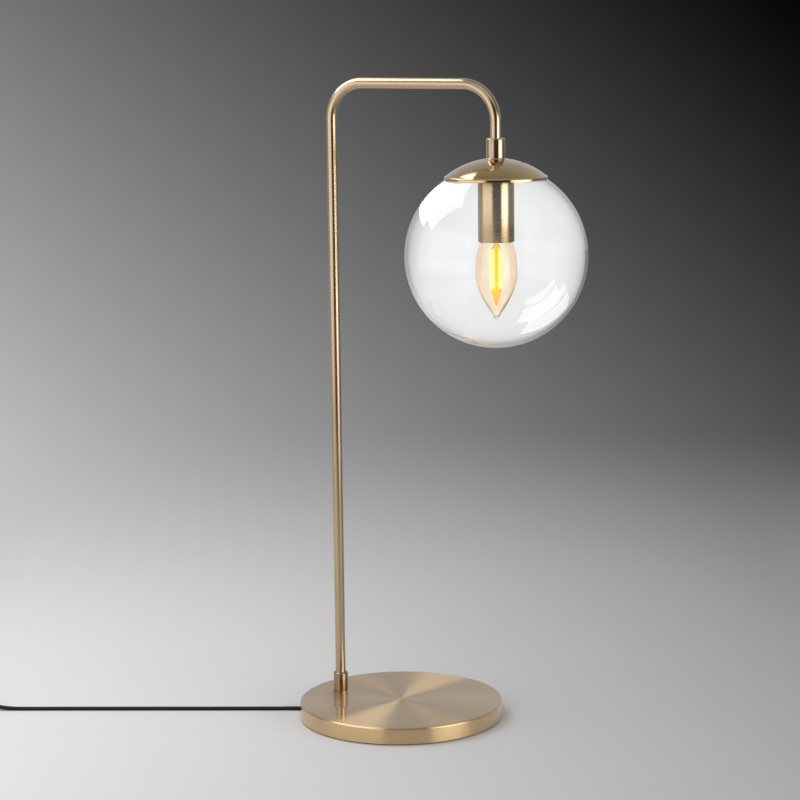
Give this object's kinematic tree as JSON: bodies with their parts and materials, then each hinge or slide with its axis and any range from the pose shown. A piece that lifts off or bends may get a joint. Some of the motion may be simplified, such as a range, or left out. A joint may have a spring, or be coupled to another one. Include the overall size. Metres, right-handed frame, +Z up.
{
  "type": "bedside lamp",
  "caption": "Bedside lamp: round weighted base, thin bent brass tube, and a clear glass globe hanging under a domed cap round an amber candle bulb, with cord, switch and plug.",
  "frame": {"origin": "centre of the underside of the base, on the table", "axes": "+X runs along the arm from the upright tube to the globe, +Z is up, +Y completes the right-handed frame"},
  "size_m": [0.6145, 0.3838, 0.5459],
  "materials": {
    "antique_brass": "fine brushed, clear lacquer",
    "contact_brass": "plain rolled",
    "cast_iron": "as cast, painted",
    "plain_steel": "zinc plated",
    "spring_steel": "plain spring strip",
    "black_rubber": "matt",
    "black_plastic": "fine matt",
    "black_flex": "smooth flex cover",
    "white_plastic": "satin",
    "core_plastic": "smooth",
    "nickel": "nickel plated sheet",
    "clear_glass": "clear blown glass",
    "amber_glass": "amber tinted glass",
    "phosphor": "yellow coating",
    "board": "circuit board"
  },
  "bodies": {
    "stand": {"base_shell": "antique_brass", "base_weight": "cast_iron", "base_plate": "plain_steel", "base_pad": "black_rubber", "plate_screws": "plain_steel", "cord_grommet": "black_rubber", "cord_stop": "black_plastic", "stem_nipple": "plain_steel", "stem_washer": "plain_steel", "stem_nut": "plain_steel", "foot_collar": "antique_brass", "stem_tube": "antique_brass", "flex_in_base": "black_flex", "flex_in_stem": "black_flex", "cap_collar": "antique_brass", "cap": "antique_brass", "cap_nipple": "plain_steel", "globe_spring": "spring_steel", "cap_washer": "plain_steel", "cap_nut": "plain_steel", "sleeve": "antique_brass", "holder_cap": "white_plastic", "holder_body": "white_plastic", "holder_insert": "white_plastic", "holder_shell": "contact_brass", "centre_contact": "contact_brass", "terminal_screws": "plain_steel", "holder_wires": "core_plastic", "cord_run": "black_flex", "switch_base": "black_plastic", "switch_cover": "black_plastic", "switch_contacts": "contact_brass", "switch_screws": "plain_steel", "cord_link": "black_flex", "cord_coil": "black_flex", "cord_tie": "black_plastic", "cord_tail": "black_flex", "plug_relief": "black_plastic", "plug_body": "black_plastic", "plug_pins": "contact_brass"},
    "globe": {"globe": "clear_glass"},
    "bulb_carrier": {"bulb_contact": "nickel"},
    "bulb": {"bulb_glass": "amber_glass", "bulb_cap": "nickel", "bulb_insulator": "black_plastic", "bulb_driver": "board", "bulb_stem": "amber_glass", "filaments": "phosphor", "filament_leads": "plain_steel"},
    "rocker": {"switch_rocker": "black_plastic"}
  },
  "joints": [
    {"name": "globe_pull", "type": "slide", "parent": "stand", "child": "globe", "axis": [0, 0, -1], "range_m": [0, 0.13], "deforming": ["globe_spring"]},
    {"name": "bulb_travel", "type": "slide", "parent": "stand", "child": "bulb_carrier", "axis": [0, 0, -1], "range_m": [0, 0.0142]},
    {"name": "bulb_turn", "type": "hinge", "parent": "bulb_carrier", "child": "bulb", "pos_m": [0.096, 0, 0.431], "axis": [0, 0, -1], "range_deg": [0, 1800]},
    {"name": "switch_rock", "type": "hinge", "parent": "stand", "child": "rocker", "pos_m": [-0.3603, -0.1812, 0.0148], "axis": [-0.4848, 0.8746, 0], "range_deg": [0, 14]}
  ],
  "couplings": [
    {"joint": "bulb_travel", "follows": "bulb_turn", "m_per_rad": 0.00044916}
  ]
}
